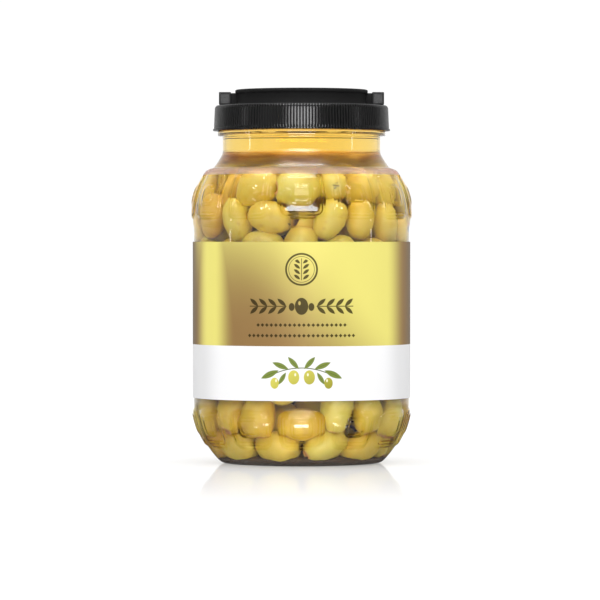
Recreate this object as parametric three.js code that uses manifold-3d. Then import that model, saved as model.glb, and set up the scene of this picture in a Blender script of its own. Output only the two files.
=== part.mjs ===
// A large clear jar of green olives with a ribbed screw lid, a folding carry handle and a wrap-round label.
// Millimetres, +Z up. The origin is the centre of the base, on the jar's axis, and the front faces -Y.
// Angles round the jar are in degrees from the front, growing towards +X.
import * as THREE from 'three';
import { mergeVertices } from 'three/addons/utils/BufferGeometryUtils.js';
import Module from 'manifold-3d';

// Blown body of the jar
const WALL = 1.3;
const BASE_RADIUS = 54;
const FOOT_RING = 8;
const PUSH_UP_HEIGHT = 5;
const PUSH_UP_RADIUS = 38;
const LABEL_RECESS = { radius: 70.5, bottom: 41.5, top: 153.6 };
const BELT = { radius: 71.3, z: 157.5 };
const SHOULDER = { outerRadius: 58.9, bottom: 192.3, top: 203.2 };
const NECK_RADIUS = 51.7;
const BEAD = { radius: 55, bottom: 213.5, top: 216.8, slope: 0.6 };
const FINISH_RADIUS = 53.4;
const MOUTH_HEIGHT = 231.3;

// Twelve panels in each of two bands, every one a raised cushion with a smaller one on it
const PANEL_COUNT = 12;
const PANEL_PITCH = 360 / PANEL_COUNT;
const OUTER_PANEL = { halfAngle: 13.2, relief: 1.4, edge: 1.2 };
const INNER_PANEL = { halfAngle: 6.6, relief: 0.7, edge: 0.9 };
const LOWER_BAND = { bottom: 11.1, top: 36.4, innerBottom: 16.7, innerTop: 33.1 };
const UPPER_BAND = { bottom: 159.2, top: 191.9, innerBottom: 168.7, innerTop: 182.4 };
const LOWER_ARC = { radius: 72.2, start: 44, bend: 63 };
const UPPER_ARC = { radius: 72.7, start: 160.5, bend: 53 };

// Screw lid
const LID = { radius: 57.3, bottom: 217.1, deck: 233.8, wall: 2.3, deckThickness: 2.2 };
const LID_LIP = { radius: 58, height: 1.3 };
const LID_CHAMFER = 1.7;
const CROWN = { radius: 42, top: 244, edge: 1.6, wall: 2, dishRadius: 37, dishDepth: 0.8 };

// Folding handle, its pins and the lugs that carry them
const PIVOT_HEIGHT = 238.4;
const HANDLE = { innerRadius: 46.2, outerRadius: 54, height: 6, bevel: 0.8 };
const EYE = { size: 8.2, corner: 1.5, recess: 5.2, recessDepth: 0.6 };
const PIN = { radius: 2, end: 51, clearance: 0.3, endClearance: 1 };
const LUG = { end: 45.6, halfWidth: 3.4, top: 241.8 };
const SWING_GROOVE_RADIUS = 5.6;

// Label
const LABEL = { innerRadius: 70.85, outerRadius: 71.5, bottom: 42.8, top: 144.6 };

// Olives. Fullness makes up for what the few sides cut off.
const OLIVE = { radius: 10.2, halfLength: 14.2, fullness: 1.08, variation: 0.05 };
const RING_PITCH = 22;
const RING_JITTER = { height: 1.2, lean: 35 };
const TOP_PITCH = 24;
const TOP_JITTER = 1.5;
const WALL_CLEARANCE = 0.9;

// The heap's core: its gap to the clear wall, its depth behind the wall where olives show, and its depth
// behind the label, where none do
const WALL_GAP = 0.3;
const CORE_DEPTH = 14;
const HIDDEN_CORE_DEPTH = 2.6;
const LOWER_CORE = [14, 36];
const HIDDEN_CORE = [46, 143];
const UPPER_CORE = [150, 174];
const CORE_TOP = 181;

// How many sides each round piece has
const SIDES = { hollow: 28, lid: 44, label: 48, bail: 18, corner: 2, pin: 16, core: 14, olive: [6, 3] };

const wasm = await Module();
wasm.setup();

const radians = THREE.MathUtils.degToRad;
const clamp = THREE.MathUtils.clamp;

// The drop of a circular arc of the given bend radius, at a run along its tangent
function arcDrop(run, bend) {
  return run <= 0 ? 0 : bend - Math.sqrt(bend * bend - run * run);
}

// The wall between the panels, in the two bands
function lowerWall(z) {
  return LOWER_ARC.radius - arcDrop(LOWER_ARC.start - z, LOWER_ARC.bend) - OUTER_PANEL.relief;
}

function upperWall(z) {
  return UPPER_ARC.radius - arcDrop(z - UPPER_ARC.start, UPPER_ARC.bend) - OUTER_PANEL.relief;
}

// A closed body's shared vertices are merged, and triangles that shrink to a line on the axis are dropped
function solidOf(geometry) {
  geometry.deleteAttribute('normal');
  geometry.deleteAttribute('uv');
  const merged = mergeVertices(geometry, 1e-4);
  const index = merged.index.array;
  const triangles = [];
  for (let i = 0; i < index.length; i += 3) {
    const [a, b, c] = index.slice(i, i + 3);
    if (a !== b && b !== c && c !== a) {
      triangles.push(a, b, c);
    }
  }
  const vertProperties = new Float32Array(merged.attributes.position.array);
  const triVerts = new Uint32Array(triangles);
  return new wasm.Manifold(new wasm.Mesh({ numProp: 3, vertProperties, triVerts }));
}

function geometryOf(solid) {
  const { vertProperties, triVerts } = solid.getMesh();
  const geometry = new THREE.BufferGeometry();
  geometry.setAttribute('position', new THREE.BufferAttribute(new Float32Array(vertProperties), 3));
  geometry.setIndex(new THREE.BufferAttribute(new Uint32Array(triVerts), 1));
  const flat = geometry.toNonIndexed();
  flat.computeVertexNormals();
  return flat;
}

// The outer shell alone, so that a hollow that fusing sealed is filled and a loose scrap is dropped
function largestShell(solid) {
  return solid.decompose().reduce((best, shell) => (shell.volume() > best.volume() ? shell : best));
}

// A profile of [radius, height] pairs turned about the Z axis
function turned(profile, segments) {
  const points = profile.map(([radius, z]) => new THREE.Vector2(radius, z));
  return new THREE.LatheGeometry(points, segments).rotateX(Math.PI / 2);
}

// A cylinder along the X axis, from one x to another
function barAlongX(radius, from, to, z, sides) {
  const bar = new THREE.CylinderGeometry(radius, radius, to - from, sides).rotateZ(Math.PI / 2);
  return bar.translate((from + to) / 2, 0, z);
}

function boxBetween(low, high) {
  const size = high.map((value, axis) => value - low[axis]);
  const centre = high.map((value, axis) => (value + low[axis]) / 2);
  return new THREE.BoxGeometry(...size).translate(...centre);
}

// The columns of one panel: each edge of each cushion is a pair of columns
const PANEL_COLUMNS = [OUTER_PANEL, INNER_PANEL].flatMap(({ halfAngle, edge }) => {
  const edgeAngle = THREE.MathUtils.radToDeg(edge / UPPER_ARC.radius);
  return [-halfAngle, -halfAngle + edgeAngle, halfAngle - edgeAngle, halfAngle];
}).sort((a, b) => a - b);

// The height of one cushion, as a share of its relief, at an angle from its middle and a height on the jar
function cushion({ halfAngle, edge }, angle, z, bottom, top) {
  const fromSide = radians(halfAngle - Math.abs(angle)) * UPPER_ARC.radius;
  return clamp(Math.min(fromSide, z - bottom, top - z) / edge, 0, 1);
}

function panelRelief(angle, z) {
  const band = [LOWER_BAND, UPPER_BAND].find(({ bottom, top }) => z > bottom && z < top);
  if (!band) {
    return 0;
  }
  const outer = cushion(OUTER_PANEL, angle, z, band.bottom, band.top);
  const inner = cushion(INNER_PANEL, angle, z, band.innerBottom, band.innerTop);
  return OUTER_PANEL.relief * outer + INNER_PANEL.relief * inner;
}

function bandRows({ bottom, top, innerBottom, innerTop }) {
  const outer = OUTER_PANEL.edge;
  const inner = INNER_PANEL.edge;
  const lower = [bottom, bottom + outer, innerBottom, innerBottom + inner];
  const upper = [innerTop - inner, innerTop, top - outer, top];
  return [...lower, ...upper];
}

// The body with its panels, solid to the axis
function panelledBody() {
  const profile = [
    [0, PUSH_UP_HEIGHT],
    [PUSH_UP_RADIUS, PUSH_UP_HEIGHT - 1],
    [BASE_RADIUS - FOOT_RING, 0],
    [BASE_RADIUS, 0],
    ...bandRows(LOWER_BAND).map((z) => [lowerWall(z), z]),
    [LABEL_RECESS.radius, LABEL_RECESS.bottom],
    [LABEL_RECESS.radius, LABEL_RECESS.top],
    [BELT.radius, BELT.z],
    ...bandRows(UPPER_BAND).map((z) => [upperWall(z), z]),
    [SHOULDER.outerRadius, SHOULDER.bottom],
    [NECK_RADIUS, SHOULDER.top],
    [NECK_RADIUS, BEAD.bottom],
    [BEAD.radius, BEAD.bottom + BEAD.slope],
    [BEAD.radius, BEAD.top],
    [FINISH_RADIUS, BEAD.top],
    [FINISH_RADIUS, MOUTH_HEIGHT],
    [0, MOUTH_HEIGHT],
  ];
  const body = turned(profile, PANEL_COUNT * PANEL_COLUMNS.length);
  const position = body.attributes.position;
  for (let vertex = 0; vertex < position.count; vertex++) {
    const column = Math.floor(vertex / profile.length);
    const [radius, z] = profile[vertex % profile.length];
    const fromPanel = PANEL_COLUMNS[column % PANEL_COLUMNS.length];
    const angle = radians(fromPanel + PANEL_PITCH * Math.floor(column / PANEL_COLUMNS.length));
    const reach = radius === 0 ? 0 : radius + panelRelief(fromPanel, z);
    position.setXYZ(vertex, reach * Math.sin(angle), -reach * Math.cos(angle), z);
  }
  return body;
}

// The plain inner wall, from the middle of the floor to above the mouth. The first points are the floor's.
const FLOOR_POINTS = 4;
const LOWER_INNER_LEVELS = [LOWER_BAND.bottom, 24];
const UPPER_INNER_LEVELS = [164, 178, UPPER_BAND.top - WALL];
const INNER_WALL = [
  [0, PUSH_UP_HEIGHT + WALL],
  [PUSH_UP_RADIUS - WALL, PUSH_UP_HEIGHT - 1 + WALL],
  [BASE_RADIUS - FOOT_RING - WALL, WALL],
  [BASE_RADIUS - WALL / 2, WALL],
  ...LOWER_INNER_LEVELS.map((z) => [lowerWall(z) - WALL, z]),
  [LABEL_RECESS.radius - WALL, LABEL_RECESS.bottom],
  [LABEL_RECESS.radius - WALL, LABEL_RECESS.top],
  ...UPPER_INNER_LEVELS.map((z) => [upperWall(z) - WALL, z]),
  [SHOULDER.outerRadius - WALL, SHOULDER.bottom - WALL / 2],
  [NECK_RADIUS - WALL, SHOULDER.top - WALL / 2],
  [NECK_RADIUS - WALL, MOUTH_HEIGHT + 1],
];

// The space inside the jar, drawn in from the floor and the walls by a gap
function inside(gap) {
  const profile = INNER_WALL.map(([radius, z], i) => {
    const level = i < FLOOR_POINTS ? z + gap : z;
    return [Math.max(radius - gap, 0), level];
  });
  return solidOf(turned([...profile, [0, MOUTH_HEIGHT + 1]], SIDES.hollow));
}

function jar() {
  return geometryOf(solidOf(panelledBody()).subtract(inside(0)));
}

// The lid is one moulding: skirt, deck and hollow crown, with a lug and a pin at each side
function lid() {
  const under = LID.deck - LID.deckThickness;
  const shell = solidOf(turned([
    [0, CROWN.top - CROWN.dishDepth],
    [CROWN.dishRadius, CROWN.top - CROWN.dishDepth],
    [CROWN.dishRadius + CROWN.dishDepth, CROWN.top],
    [CROWN.radius - CROWN.edge, CROWN.top],
    [CROWN.radius - CROWN.edge * 0.3, CROWN.top - CROWN.edge * 0.3],
    [CROWN.radius, CROWN.top - CROWN.edge],
    [CROWN.radius, LID.deck],
    [LID.radius - LID_CHAMFER, LID.deck],
    [LID.radius - LID_CHAMFER * 0.3, LID.deck - LID_CHAMFER * 0.35],
    [LID.radius, LID.deck - LID_CHAMFER],
    [LID.radius, LID.bottom + LID_LIP.height],
    [LID_LIP.radius, LID.bottom + LID_LIP.height * 0.6],
    [LID_LIP.radius, LID.bottom],
    [LID.radius - LID.wall, LID.bottom],
    [LID.radius - LID.wall, under],
    [CROWN.radius - CROWN.wall, under],
    [CROWN.radius - CROWN.wall, CROWN.top - CROWN.dishDepth - CROWN.wall],
    [0, CROWN.top - CROWN.dishDepth - CROWN.wall],
  ].reverse(), SIDES.lid));
  let moulding = shell;
  for (const side of [-1, 1]) {
    const ends = [side * (CROWN.radius - CROWN.wall / 2), side * LUG.end].sort((a, b) => a - b);
    const low = [ends[0], -LUG.halfWidth, LID.deck - LID.deckThickness / 2];
    const lug = boxBetween(low, [ends[1], LUG.halfWidth, LUG.top]);
    const grooveEnds = [side * LUG.end, side * (HANDLE.outerRadius + 1)].sort((a, b) => a - b);
    const groove = barAlongX(SWING_GROOVE_RADIUS, ...grooveEnds, PIVOT_HEIGHT, SIDES.pin);
    const pinEnds = [side * (LUG.end - 1), side * PIN.end].sort((a, b) => a - b);
    const pin = barAlongX(PIN.radius, ...pinEnds, PIVOT_HEIGHT, SIDES.pin);
    moulding = moulding.add(solidOf(lug)).subtract(solidOf(groove)).add(solidOf(pin));
  }
  return geometryOf(moulding);
}

// An outline in the XY plane, extruded up between two heights with small bevels
function slab(shape, bottom, top, bevel) {
  const geometry = new THREE.ExtrudeGeometry(shape, {
    depth: top - bottom - 2 * bevel,
    curveSegments: SIDES.bail,
    bevelSegments: 1,
    bevelSize: bevel,
    bevelThickness: bevel,
    bevelOffset: -bevel,
  });
  return geometry.translate(0, 0, bottom + bevel);
}

function roundedSquare(size, corner) {
  const half = size / 2;
  const flat = half - corner;
  const shape = new THREE.Shape();
  shape.absarc(flat, flat, corner, 0, Math.PI / 2);
  shape.absarc(-flat, flat, corner, Math.PI / 2, Math.PI);
  shape.absarc(-flat, -flat, corner, Math.PI, Math.PI * 1.5);
  shape.absarc(flat, -flat, corner, Math.PI * 1.5, Math.PI * 2);
  return shape;
}

// The handle folded back: a half ring behind the crown, with a square eye at each end that turns on a pin
function handle() {
  const arc = new THREE.Shape();
  arc.absarc(0, 0, HANDLE.outerRadius, 0, Math.PI);
  arc.absarc(0, 0, HANDLE.innerRadius, Math.PI, 0, true);
  const halfHeight = HANDLE.height / 2;
  let bail = solidOf(slab(arc, PIVOT_HEIGHT - halfHeight, PIVOT_HEIGHT + halfHeight, HANDLE.bevel));
  const width = HANDLE.outerRadius - HANDLE.innerRadius;
  for (const side of [-1, 1]) {
    const eye = new THREE.ExtrudeGeometry(roundedSquare(EYE.size, EYE.corner), {
      depth: width,
      bevelEnabled: false,
      curveSegments: SIDES.corner,
    });
    eye.rotateY(Math.PI / 2);
    eye.translate(side > 0 ? HANDLE.innerRadius : -HANDLE.outerRadius, 0, PIVOT_HEIGHT);
    const boreEnd = PIN.end + PIN.endClearance;
    const boreEnds = [side * (HANDLE.innerRadius - 1), side * boreEnd].sort((a, b) => a - b);
    const bore = barAlongX(PIN.radius + PIN.clearance, ...boreEnds, PIVOT_HEIGHT, SIDES.pin);
    const middle = side * (HANDLE.innerRadius + HANDLE.outerRadius) / 2;
    const front = -EYE.size / 2;
    const half = EYE.recess / 2;
    const recess = boxBetween(
      [middle - half, front - 1, PIVOT_HEIGHT - half],
      [middle + half, front + EYE.recessDepth, PIVOT_HEIGHT + half],
    );
    bail = bail.add(solidOf(eye)).subtract(solidOf(bore)).subtract(solidOf(recess));
  }
  return geometryOf(bail);
}

function label() {
  return turned([
    [LABEL.innerRadius, LABEL.bottom],
    [LABEL.outerRadius, LABEL.bottom],
    [LABEL.outerRadius, LABEL.top],
    [LABEL.innerRadius, LABEL.top],
    [LABEL.innerRadius, LABEL.bottom],
  ], SIDES.label);
}

// The radius of the inner wall at a height
function innerRadius(z) {
  const wall = INNER_WALL.slice(FLOOR_POINTS - 1);
  const above = wall.findIndex((point) => point[1] >= z);
  if (above <= 0) {
    return wall[0][0];
  }
  const [lowRadius, low] = wall[above - 1];
  const [highRadius, high] = wall[above];
  return THREE.MathUtils.mapLinear(z, low, high, lowRadius, highRadius);
}

// Each row of olives against the wall: those seen from the front as [angle, height, lean, inward turn], set
// by hand, and the rest of the ring by rule. A lean of 0 stands up and 90 lies along the wall, and an inward
// turn of 90 points at the wall.
const WALL_ROWS = [
  [[-70, 16, 40, 0], [-46, 16, 80, 0], [-15, 15.5, 92, 0], [16, 16.5, 62, 0], [43, 16, 84, 14]],
  [[-72, 34, 10, 0], [-48, 36, 10, 0], [-25, 36, 6, 0], [1, 30, 91, 0], [22, 38, 8, 0], [45, 37, -10, 0],
    [67, 34, 5, 0]],
  [[-64, 160, 4, 0], [-44, 160, -10, 0], [-21.5, 159, 106, 0], [16.5, 159, 24, 0], [38.4, 160, 4, 0],
    [61, 160, -6, 0]],
  [[-53, 179, 24, 0], [-31, 179, 76, 0], [-5, 178, 92, 0], [19, 178, 0, 84], [40, 178.5, 60, 48],
    [61, 179, 10, 0]],
];
const TOP_RINGS = [{ radius: 36, z: 183 }, { radius: 13, z: 183 }];

// A repeatable draw between -1 and 1
function draw(seed) {
  const value = Math.sin(seed * 12.9898 + 4.1414) * 43758.5453;
  return 2 * (value - Math.floor(value)) - 1;
}

// A low-sided olive about its own centre, its long axis turned to lean along the wall and point at it
function oliveShape(angle, lean, inward, size) {
  const shape = new THREE.SphereGeometry(1, ...SIDES.olive);
  const girth = OLIVE.radius * OLIVE.fullness * size;
  shape.scale(girth, OLIVE.halfLength * size, girth);
  shape.rotateX(Math.PI / 2);
  shape.rotateX(radians(inward));
  shape.rotateY(radians(lean));
  return shape.rotateZ(radians(angle));
}

// How far the shape, centred at a radius and a height, passes the inner wall
function reachPastWall(shape, angle, radius, z) {
  const position = shape.attributes.position;
  const centreX = radius * Math.sin(radians(angle));
  const centreY = -radius * Math.cos(radians(angle));
  let past = -Infinity;
  for (let i = 0; i < position.count; i++) {
    const reach = Math.hypot(centreX + position.getX(i), centreY + position.getY(i));
    past = Math.max(past, reach + WALL_CLEARANCE - innerRadius(z + position.getZ(i)));
  }
  return past;
}

function oliveAt(angle, z, lean, inward, size) {
  const shape = oliveShape(angle, lean, inward, size);
  let radius = innerRadius(z) - OLIVE.radius;
  for (let pass = 0; pass < 4; pass++) {
    radius -= reachPastWall(shape, angle, radius, z);
  }
  return shape.translate(radius * Math.sin(radians(angle)), -radius * Math.cos(radians(angle)), z);
}

// The rest of a ring, evenly spaced from the last olive set by hand round the back to the first
function ringRest(row, seed) {
  const first = row[0][0] + 360;
  const last = row[row.length - 1][0];
  const level = row.reduce((sum, olive) => sum + olive[1], 0) / row.length;
  const around = radians(first - last) * (innerRadius(level) - OLIVE.radius);
  const gaps = Math.round(around / RING_PITCH);
  return Array.from({ length: gaps - 1 }, (_, i) => [
    last + ((i + 1) * (first - last)) / gaps,
    level + RING_JITTER.height * draw(seed + i),
    RING_JITTER.lean * draw(seed + i + 0.3),
    0,
  ]);
}

function topOlives({ radius, z }, seed) {
  const count = Math.round((2 * Math.PI * radius) / TOP_PITCH);
  return Array.from({ length: count }, (_, i) => {
    const angle = (360 * i) / count + seed;
    const shape = oliveShape(angle, 90, 0, 1 + OLIVE.variation * draw(seed + i));
    const height = z + TOP_JITTER * draw(seed + i + 0.7);
    return shape.translate(radius * Math.sin(radians(angle)), -radius * Math.cos(radians(angle)), height);
  });
}

// The heap: a core kept back from the wall where olives show, with the olives fused on
function olives() {
  const floor = PUSH_UP_HEIGHT + WALL + 2 * WALL_GAP;
  const core = [
    [0, floor],
    [PUSH_UP_RADIUS, floor],
    ...LOWER_CORE.map((z) => [innerRadius(z) - CORE_DEPTH, z]),
    ...HIDDEN_CORE.map((z) => [innerRadius(z) - HIDDEN_CORE_DEPTH, z]),
    ...UPPER_CORE.map((z) => [innerRadius(z) - CORE_DEPTH, z]),
    [PUSH_UP_RADIUS, CORE_TOP],
    [0, CORE_TOP],
  ];
  let heap = solidOf(turned(core, SIDES.core));
  WALL_ROWS.forEach((row, level) => {
    const seed = 17 * (level + 1);
    [...row, ...ringRest(row, seed)].forEach(([angle, z, lean, inward], i) => {
      const size = 1 + OLIVE.variation * draw(seed + i + 0.5);
      heap = heap.add(solidOf(oliveAt(angle, z, lean, inward, size)));
    });
  });
  TOP_RINGS.forEach((ring, level) => {
    for (const shape of topOlives(ring, 11 * (level + 1))) {
      heap = heap.add(solidOf(shape));
    }
  });
  return geometryOf(largestShell(heap.intersect(inside(WALL_GAP))));
}

const clearPlastic = new THREE.MeshStandardMaterial({
  color: 0xe9edee,
  roughness: 0.05,
  metalness: 0,
  transparent: true,
  opacity: 0.35,
});
const blackPlastic = new THREE.MeshStandardMaterial({ color: 0x1c1c1d, roughness: 0.45, metalness: 0 });
const goldFilm = new THREE.MeshStandardMaterial({ color: 0xd9b84a, roughness: 0.3, metalness: 0.6 });
const oliveFlesh = new THREE.MeshStandardMaterial({ color: 0xc8a63c, roughness: 0.35, metalness: 0 });

const pieces = [
  ['jar', jar(), clearPlastic],
  ['lid', lid(), blackPlastic],
  ['handle', handle(), blackPlastic],
  ['label', label(), goldFilm],
  ['olives', olives(), oliveFlesh],
];

const jarOfOlives = new THREE.Group();
for (const [name, geometry, material] of pieces) {
  const mesh = new THREE.Mesh(geometry, material);
  mesh.name = name;
  jarOfOlives.add(mesh);
}

export default jarOfOlives;
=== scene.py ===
# A large clear jar of green olives in brine, with a ribbed screw lid, a folding handle and a label.
# Pieces are modelled in millimetres, +Z up, and brought to metres when they are done. The origin is the
# centre of the base and the front faces -Y. Angles round the jar are in degrees from the front towards +X.
import math

import bmesh
import bpy
import numpy as np
from mathutils import Matrix, Vector


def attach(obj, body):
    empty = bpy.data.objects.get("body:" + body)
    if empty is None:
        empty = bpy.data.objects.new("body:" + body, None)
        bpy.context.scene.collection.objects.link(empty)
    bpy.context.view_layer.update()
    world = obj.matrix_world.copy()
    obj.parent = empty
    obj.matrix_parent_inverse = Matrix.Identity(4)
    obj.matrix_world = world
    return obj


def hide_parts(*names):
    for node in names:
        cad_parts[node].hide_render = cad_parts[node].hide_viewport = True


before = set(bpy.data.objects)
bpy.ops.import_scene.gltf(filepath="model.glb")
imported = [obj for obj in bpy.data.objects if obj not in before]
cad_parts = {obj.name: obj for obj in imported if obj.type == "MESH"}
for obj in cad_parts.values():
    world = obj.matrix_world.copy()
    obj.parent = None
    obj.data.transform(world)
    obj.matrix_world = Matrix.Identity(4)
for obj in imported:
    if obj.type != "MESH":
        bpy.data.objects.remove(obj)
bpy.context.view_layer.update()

MM = 0.001
WHITE = (1, 1, 1, 1)
# The turn that lays a cylinder along X
ALONG_X = (0, math.pi / 2, 0)
# Points closer than this are one, in millimetres
MERGE_GAP = 0.01

# The photograph's frame: real size of a pixel, the jar's axis and its foot, and where the camera stands
PIXEL = 0.655
FRAME_PIXELS = 600
AXIS_PIXEL = 301.5
FOOT_PIXEL = 462.5
CAMERA_DISTANCE = 2.8
CAMERA_HEIGHT = 0.146

# Blown body
WALL = 1.1
BRINE_DEPTH = 0.55
PANEL_COUNT = 12
PANEL_PITCH = 30
OUTER_HALF_ANGLE = 13.2
INNER_HALF_ANGLE = 6.6
OUTER_RELIEF = 1.4
# Each cushion rises in steps of width and height, which the smoothing rounds, and its corners are drawn in
OUTER_STEPS = [(0.6, 0.2), (1.5, 0.85), (1.1, 0.35)]
INNER_STEPS = [(0.6, 0.1), (1.3, 0.6)]
CORNER_RISE = 2.6
CORNER_TURN = 1.5
LOWER_BAND = {"bottom": 10.6, "top": 36.9, "inner_bottom": 18.2, "inner_top": 32.4}
UPPER_BAND = {"bottom": 158.6, "top": 191.4, "inner_bottom": 167.2, "inner_top": 182.4}
NECK_RADIUS = 51.7
# The bead under the lid is solid, so the wall's inside and the brine pass it straight
BEAD = [(52.0, 213.2), (54.7, 213.5), (55, 213.9), (55, 215.2), (55, 216.4), (54.6, 216.8)]
# What the lid closes on
LID_SEAT = [(53.4, 217.2), (53.4, 231.3)]
# The brine stands level with the lid's lower edge, so that its top mirrors the light from behind
BRINE_TOP = 217.1
# Fine terraces inside each panel's edge, each as how far in it starts and its height
OUTER_TERRACES = [(0.4, 0.35), (2.4, 0.45), (4.4, 0.3)]
INNER_TERRACES = [(0.3, 0.4), (2.2, 0.4)]
TERRACE_WIDTH = 1.3
TERRACE_RADIUS = 70
OUTER_CORNER = 7.0
INNER_CORNER = 4.5
# Where the shoulder's haze and its painted shade and reflection set in or end, from one height to another,
# and how rough the haze is
LEDGE_START = (187.4, 189.2)
LEDGE_END = (191.6, 193)
HAZE_END = (203.8, 204.8)
PAINTED_SHADE_START = (192, 200)
PAINTED_SHADE_END = (202.2, 203.2)
LEDGE_HAZE = 0.7
CONE_HAZE = 0.2
STREAK_LENGTH = 16
STREAK_FLATNESS = 7

# Lid. Its skirt leans in by the draft from the ribs' foot to their top. The plastic is rough in line with
# the grooves between the ribs, out to an edge that is given in shares of the pitch
LID_RADIUS = 57.3
LID_BOTTOM = 217.1
LID_DRAFT = 0.55
LID_DECK = 233.8
RIB_COUNT = 180
RIB_PITCH = 360 / RIB_COUNT
RIB_BOTTOM = 219.6
RIB_TOP = 231.9
RIB_RELIEF = 0.38
GROOVE_EDGE = (0.22, 0.27)
CROWN_RADIUS = 42
CROWN_TOP = 244
SATIN = 0.2
DULLER = 0.62

# Handle and what it turns on
PIVOT_HEIGHT = 238.4
HANDLE_INNER = 46.2
HANDLE_OUTER = 54
HANDLE_HEIGHT = 6
EYE_SIZE = 8.2
PIN_RADIUS = 2
PIN_END = 51
SWING_GROOVE_RADIUS = 5.6
SWING_GROOVE_DEPTH = 10
LUG_END = 45.6
LUG_MIDDLE = 238.0
LUG_WIDTH = 6.8
LUG_HEIGHT = 7.6
# How far a lug runs past both its ends, into the crown's wall and up to the handle's eye
LUG_OVERRUN = 0.8
BORE_GAP = 0.3

# Label
LABEL_RADIUS = 71.1
LABEL_THICKNESS = 0.24
LAP_GAP = 0.06
LABEL_BOTTOM = 42.8
LABEL_TOP = 144.6
FIELD_BOTTOM = 77.8
PRINT_EDGE = 0.12
# The seal: two rings as a radius and half a line's width, and a twig with leaves in pairs
SEAL_HEIGHT = 127
SEAL_RINGS = [(9.9, 0.6), (8.2, 0.16)]
TWIG_END = (6.8, 7.1)
TWIG_PITCH = 3.4
TWIG_STEM = 0.22
TWIG_LEAF = {"middle": (2.9, 2.0), "turn": 38, "length": 2.6, "width": 0.95}
# The garland: leaves in pairs along a stem at each side of its fruit
GARLAND_HEIGHT = 103.4
GARLAND_START = 9.6
GARLAND_HALF_LENGTH = 12.4
GARLAND_PITCH = 6.2
GARLAND_STEM = 0.28
GARLAND_LEAF = {"middle": (0, 2.5), "turn": 40, "length": 3.7, "width": 1.25}
# The rows of small marks, each as a height and half a length
BEAD_ROWS = [(91.4, 30), (84.6, 36)]
BEAD_PITCH = 3.0
BEAD_SIZE = 1.2
# The sprig, from its own middle: each leaf as its middle, turn, half length and half width, and each fruit
# as its middle, half width and half height
SPRIG_HEIGHT = 60.6
SPRIG_END = (21, 21.6)
SPRIG_LEAVES = [
    ((20.6, -0.8), -24, 6.4, 1.9), ((13.6, 4.8), 22, 5.6, 1.7), ((5.2, 6.6), 48, 5.2, 1.6),
    ((12.4, -3.4), -58, 4.6, 1.4),
]
SPRIG_FRUITS = [((5.0, -2.6), 3.7, 4.7), ((17.4, -6.4), 2.9, 3.7)]

# Olives
OLIVE_RADIUS = 10.2
OLIVE_HALF_LENGTH = 14.2
WALL_CLEARANCE = 0.9


def arc_drop(run, bend):
    """The drop of an arc of the given bend radius, at a run along its tangent."""
    return 0 if run <= 0 else bend - math.sqrt(bend * bend - run * run)


def lower_wall(z):
    return 72.2 - arc_drop(44 - z, 63) - OUTER_RELIEF


def upper_wall(z):
    return 72.7 - arc_drop(z - 160.5, 53) - OUTER_RELIEF


def deselect_all():
    if bpy.context.object and bpy.context.object.mode != "OBJECT":
        bpy.ops.object.mode_set(mode="OBJECT")
    bpy.ops.object.select_all(action="DESELECT")


def take(*pieces):
    """Makes the pieces the ones that operators act on, the first one the active one."""
    deselect_all()
    for piece in pieces:
        piece.select_set(True)
    bpy.context.view_layer.objects.active = pieces[0]


def edit(piece):
    take(piece)
    bpy.ops.object.mode_set(mode="EDIT")


def leave_edit():
    bpy.ops.object.mode_set(mode="OBJECT")


def added(name):
    piece = bpy.context.object
    piece.name = name
    piece.data.name = name
    return piece


def select_faces(piece, wanted):
    """Selects, in edit mode, the faces whose middle and normal pass the test."""
    bpy.ops.mesh.select_mode(type="FACE")
    bpy.ops.mesh.select_all(action="DESELECT")
    mesh = bmesh.from_edit_mesh(piece.data)
    for face in mesh.faces:
        if wanted(face.calc_center_median(), face.normal):
            face.select_set(True)
    bmesh.update_edit_mesh(piece.data)


def apply_modifier(piece, kind, **settings):
    take(piece)
    modifier = piece.modifiers.new(kind.lower(), kind)
    for name, value in settings.items():
        setattr(modifier, name, value)
    bpy.ops.object.modifier_apply(modifier=modifier.name)


def select_points(piece, wanted):
    """Selects, in edit mode, the points that pass the test."""
    bpy.ops.mesh.select_mode(type="VERT")
    bpy.ops.mesh.select_all(action="DESELECT")
    mesh = bmesh.from_edit_mesh(piece.data)
    for point in mesh.verts:
        if wanted(point.co):
            point.select_set(True)
    bmesh.update_edit_mesh(piece.data)


def angle_of(point):
    """The angle round the jar, in degrees from the front towards +X."""
    return math.degrees(math.atan2(point.x, -point.y))


def on_circle(radius, angle, z):
    turn = math.radians(angle)
    return Vector((radius * math.sin(turn), -radius * math.cos(turn), z))


def wire(name, profile, angle=0):
    """A wire through (radius, height) points, standing at an angle round the axis, left in edit mode."""
    deselect_all()
    bpy.ops.mesh.primitive_plane_add(size=1)
    piece = added(name)
    points = [on_circle(radius, angle, z) for radius, z in profile]
    bpy.ops.object.mode_set(mode="EDIT")
    bpy.ops.mesh.select_mode(type="VERT")
    bpy.ops.mesh.select_all(action="SELECT")
    bpy.ops.mesh.merge(type="CENTER")
    bpy.ops.transform.translate(value=points[0])
    for start, end in zip(points, points[1:]):
        bpy.ops.mesh.extrude_vertices_move(TRANSFORM_OT_translate={"value": end - start})
    bpy.ops.mesh.select_all(action="SELECT")
    return piece


def spin(steps, degrees):
    """Spins what is selected round the axis, from the front towards +X. The operator calls that negative."""
    bpy.ops.mesh.spin(steps=steps, angle=-math.radians(degrees), center=(0, 0, 0), axis=(0, 0, 1))


def close_up():
    """Merges doubles and points the faces outwards, in edit mode."""
    bpy.ops.mesh.select_all(action="SELECT")
    bpy.ops.mesh.remove_doubles(threshold=MERGE_GAP)
    bpy.ops.mesh.normals_make_consistent(inside=False)


def lathe(name, profile, steps):
    piece = wire(name, profile)
    spin(steps, 360)
    close_up()
    return piece


def copied(piece, name):
    twin = piece.copy()
    twin.data = piece.data.copy()
    twin.name = name
    twin.data.name = name
    bpy.context.collection.objects.link(twin)
    return twin


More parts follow.
